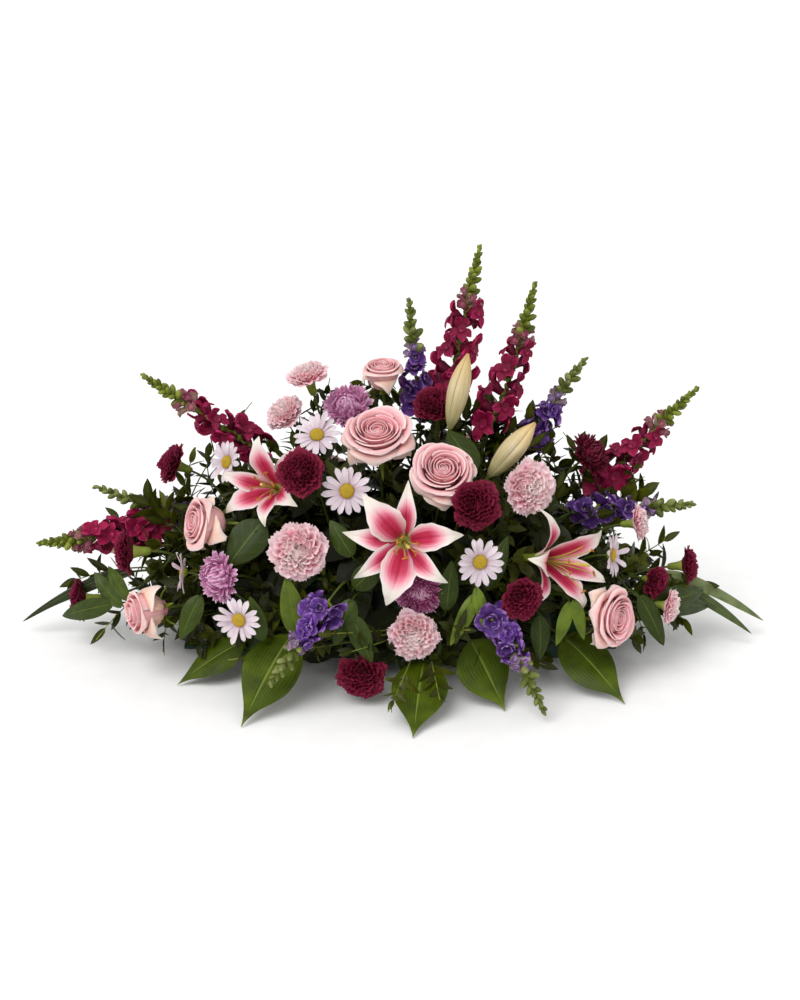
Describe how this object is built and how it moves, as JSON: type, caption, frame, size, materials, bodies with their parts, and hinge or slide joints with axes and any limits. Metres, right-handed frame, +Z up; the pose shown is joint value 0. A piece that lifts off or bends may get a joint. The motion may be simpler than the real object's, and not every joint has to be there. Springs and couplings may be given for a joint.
{
  "type": "casket spray",
  "caption": "Long, low mound of cut flowers with taller flower spikes behind and broad leaves in front, standing in wet foam in a plastic casket saddle.",
  "frame": {"origin": "middle of the saddle's flat underside", "axes": "+Z up, +X along the spray's length to the viewer's right, -Y towards the viewer"},
  "size_m": [0.9545, 0.5, 0.5008],
  "materials": {
    "rose_petal": "soft satin petal, pale pink with cream edges",
    "lily_petal": "waxy petal, crimson pink with a white margin",
    "lily_bud": "waxy bud, cream and yellow green",
    "carnation_pink_petal": "matt crinkled petal, pale pink",
    "carnation_red_petal": "matt crinkled petal, deep burgundy",
    "mum_petal": "matt petal, mauve with pale tips",
    "mum_red_petal": "matt petal, burgundy",
    "daisy_petal": "matt petal, lilac white, with a golden disc",
    "snapdragon_petal": "velvet floret, crimson, with green buds",
    "stock_petal": "velvet floret, violet, with green buds",
    "broad_leaf": "glossy dark green leaf with veins along it",
    "sprig_leaf": "satin green leaf",
    "foam": "wet floral foam, dull green, finely porous",
    "saddle_plastic": "moulded dark green plastic"
  },
  "bodies": {
    "root": {"carnation_back_pink": "carnation_pink_petal", "carnation_back_red": "carnation_red_petal", "carnation_pink_front": "carnation_pink_petal", "carnation_pink_low": "carnation_pink_petal", "carnation_pink_right": "carnation_pink_petal", "carnation_red_bottom": "carnation_red_petal", "carnation_red_left": "carnation_red_petal", "carnation_red_low_right": "carnation_red_petal", "carnation_red_right": "carnation_red_petal", "carnation_red_top": "carnation_red_petal", "carnation_red_upper_left": "carnation_red_petal", "carnation_spray_pink_right": "carnation_pink_petal", "carnation_spray_pink_top": "carnation_pink_petal", "carnation_spray_red_left": "carnation_red_petal", "carnation_spray_red_right": "carnation_red_petal", "daisy_back": "daisy_petal", "daisy_far_right": "daisy_petal", "daisy_left": "daisy_petal", "daisy_right": "daisy_petal", "daisy_spray_low_left": "daisy_petal", "daisy_spray_top": "daisy_petal", "leaf_front_middle": "broad_leaf", "leaves_front_left": "broad_leaf", "leaves_front_right": "broad_leaf", "lily_bud_left": "lily_bud", "lily_bud_right": "lily_bud", "lily_bud_top": "lily_bud", "lily_centre": "lily_petal", "lily_left": "lily_petal", "lily_right": "lily_petal", "mum_back": "mum_petal", "mum_centre": "mum_petal", "mum_left": "mum_petal", "mum_red_right": "mum_red_petal", "mum_top": "mum_petal", "rose_back": "rose_petal", "rose_far_left": "rose_petal", "rose_left": "rose_petal", "rose_middle": "rose_petal", "rose_right": "rose_petal", "rose_top": "rose_petal", "rose_upper": "rose_petal", "snapdragon_low_left": "snapdragon_petal", "snapdragon_right": "snapdragon_petal", "snapdragon_top": "snapdragon_petal", "snapdragon_upper_left": "snapdragon_petal", "snapdragon_upper_right": "snapdragon_petal", "sprigs_back_left": "sprig_leaf", "sprigs_back_right": "sprig_leaf", "sprigs_front": "sprig_leaf", "sprigs_left": "sprig_leaf", "sprigs_right": "sprig_leaf", "stock_left": "stock_petal", "stock_low_left": "stock_petal", "stock_low_right": "stock_petal", "stock_right": "stock_petal", "stock_top": "stock_petal", "stock_upper_right": "stock_petal", "floral_foam": "foam", "casket_saddle": "saddle_plastic"}
  },
  "joints": []
}
